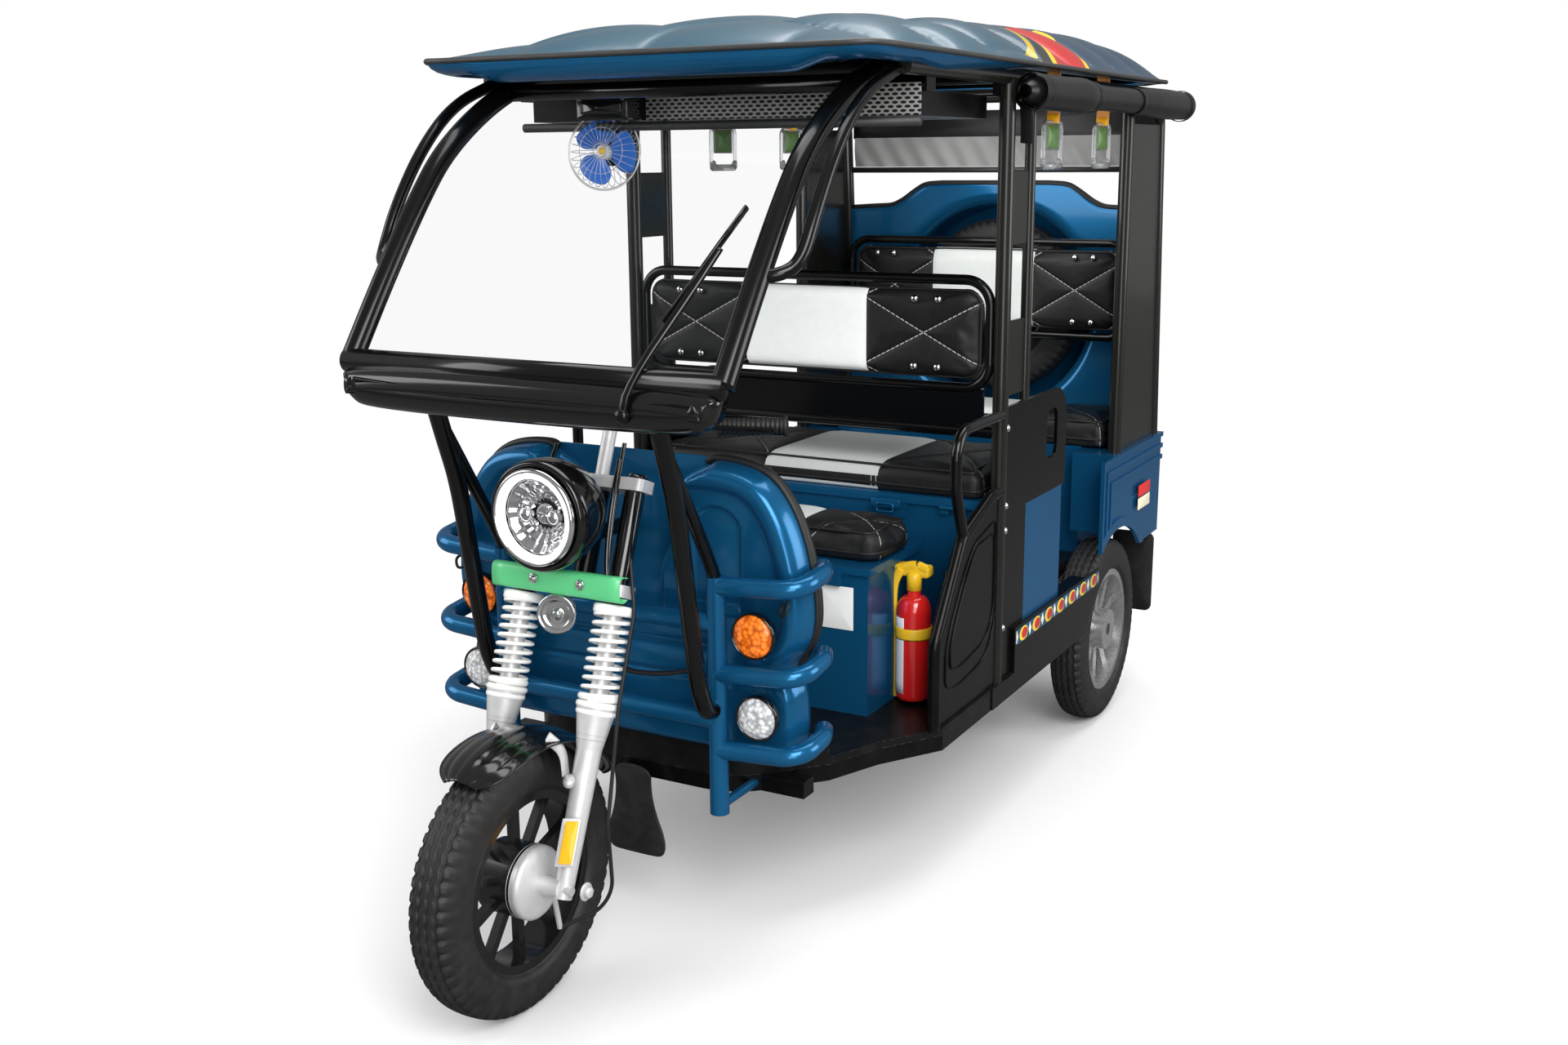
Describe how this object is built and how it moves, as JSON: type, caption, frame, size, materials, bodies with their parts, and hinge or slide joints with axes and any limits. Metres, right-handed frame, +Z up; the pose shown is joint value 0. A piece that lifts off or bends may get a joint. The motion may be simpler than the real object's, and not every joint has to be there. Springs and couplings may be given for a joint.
{
  "type": "three-wheeled battery passenger rickshaw",
  "caption": "Open-sided three-wheeled electric rickshaw with steering front fork, driver's box seat, facing passenger seats, canopy roof and spare wheel.",
  "frame": {"origin": "middle of the bounding box's underside, on the ground between the wheels", "axes": "+Z up, -Y forward, +X to the vehicle's left"},
  "size_m": [1.0878, 2.645, 1.814],
  "materials": {
    "blue_paint": "metallic gloss",
    "black_tube": "gloss",
    "black_board": "satin",
    "clear_pane": "clear",
    "black_rubber": "matt",
    "tyre_rubber": "matt",
    "black_alloy": "satin",
    "silver_alloy": "satin cast",
    "white_coil": "gloss",
    "lamp_metal": "gloss",
    "plate_green": "satin",
    "black_vinyl": "soft grained",
    "dark_canvas": "coated canvas",
    "amber_lens": "moulded",
    "clear_lens": "moulded",
    "red_lens": "moulded",
    "red_enamel": "gloss",
    "dark_steel": "painted",
    "case_plastic": "moulded",
    "fan_plastic": "translucent",
    "handle_plastic": "clear"
  },
  "bodies": {
    "root": {"backrest_frames": "black_tube", "battery_pack": "case_plastic", "bench_backrest": "black_vinyl", "bench_base": "blue_paint", "cab_fan": "fan_plastic", "canopy_frame": "black_tube", "chassis_frame": "black_tube", "crash_guard": "blue_paint", "curtain_rolls": "dark_canvas", "driver_box": "blue_paint", "fire_extinguisher": "red_enamel", "floor_pan": "black_board", "fog_lamps": "clear_lens", "front_cage": "black_tube", "front_fascia": "black_board", "gate_panels": "black_board", "grab_loops": "black_tube", "hand_straps": "handle_plastic", "leaf_springs": "dark_steel", "leg_panels": "black_board", "lower_panels": "blue_paint", "mud_flaps": "black_rubber", "nose_panel": "blue_paint", "quarter_panels": "black_board", "rear_axle": "dark_steel", "rear_backrest": "black_vinyl", "rear_panel": "blue_paint", "rear_seat_base": "blue_paint", "rear_seat_cushion": "black_vinyl", "rear_sides": "blue_paint", "roof_shell": "blue_paint", "roof_tray": "black_board", "side_steps": "black_board", "spare_wheel": "tyre_rubber", "tail_lamps": "red_lens", "tail_wall": "blue_paint", "turn_signals": "amber_lens", "windscreen_frame": "black_tube", "windscreen_glass": "clear_pane", "wiper": "black_rubber"},
    "steering": {"fork_legs": "silver_alloy", "fork_springs": "white_coil", "handlebar": "black_tube", "headlamp": "lamp_metal", "number_plate": "plate_green", "horn": "silver_alloy", "front_fender": "black_board", "brake_cable": "black_rubber"},
    "front_wheel": {"front_tyre": "tyre_rubber", "front_rim": "black_alloy"},
    "rear_wheel_left": {"rear_tyre_left": "tyre_rubber", "rear_rim_left": "silver_alloy"},
    "rear_wheel_right": {"rear_tyre_right": "tyre_rubber", "rear_rim_right": "silver_alloy"},
    "driver_lid": {"driver_lid": "blue_paint", "driver_cushion": "black_vinyl"},
    "bench_lid": {"bench_lid": "blue_paint", "bench_cushion": "black_vinyl"}
  },
  "joints": [
    {"name": "steer", "type": "hinge", "parent": "root", "child": "steering", "pos_m": [0, -0.82146, 0.8], "axis": [0, 0.3584, 0.9336], "range_deg": [-35, 35]},
    {"name": "front_wheel_spin", "type": "hinge", "parent": "steering", "child": "front_wheel", "pos_m": [0, -1.0775, 0.245], "axis": [1, 0, 0], "continuous": true},
    {"name": "rear_left_spin", "type": "hinge", "parent": "root", "child": "rear_wheel_left", "pos_m": [0.425, 0.8625, 0.245], "axis": [1, 0, 0], "continuous": true},
    {"name": "rear_right_spin", "type": "hinge", "parent": "root", "child": "rear_wheel_right", "pos_m": [-0.425, 0.8625, 0.245], "axis": [1, 0, 0], "continuous": true},
    {"name": "driver_lid_hinge", "type": "hinge", "parent": "root", "child": "driver_lid", "pos_m": [0, -0.027, 0.648], "axis": [-1, 0, 0], "range_deg": [0, 35]},
    {"name": "bench_lid_hinge", "type": "hinge", "parent": "root", "child": "bench_lid", "pos_m": [0, 0.001, 0.736], "axis": [1, 0, 0], "range_deg": [0, 30]}
  ]
}
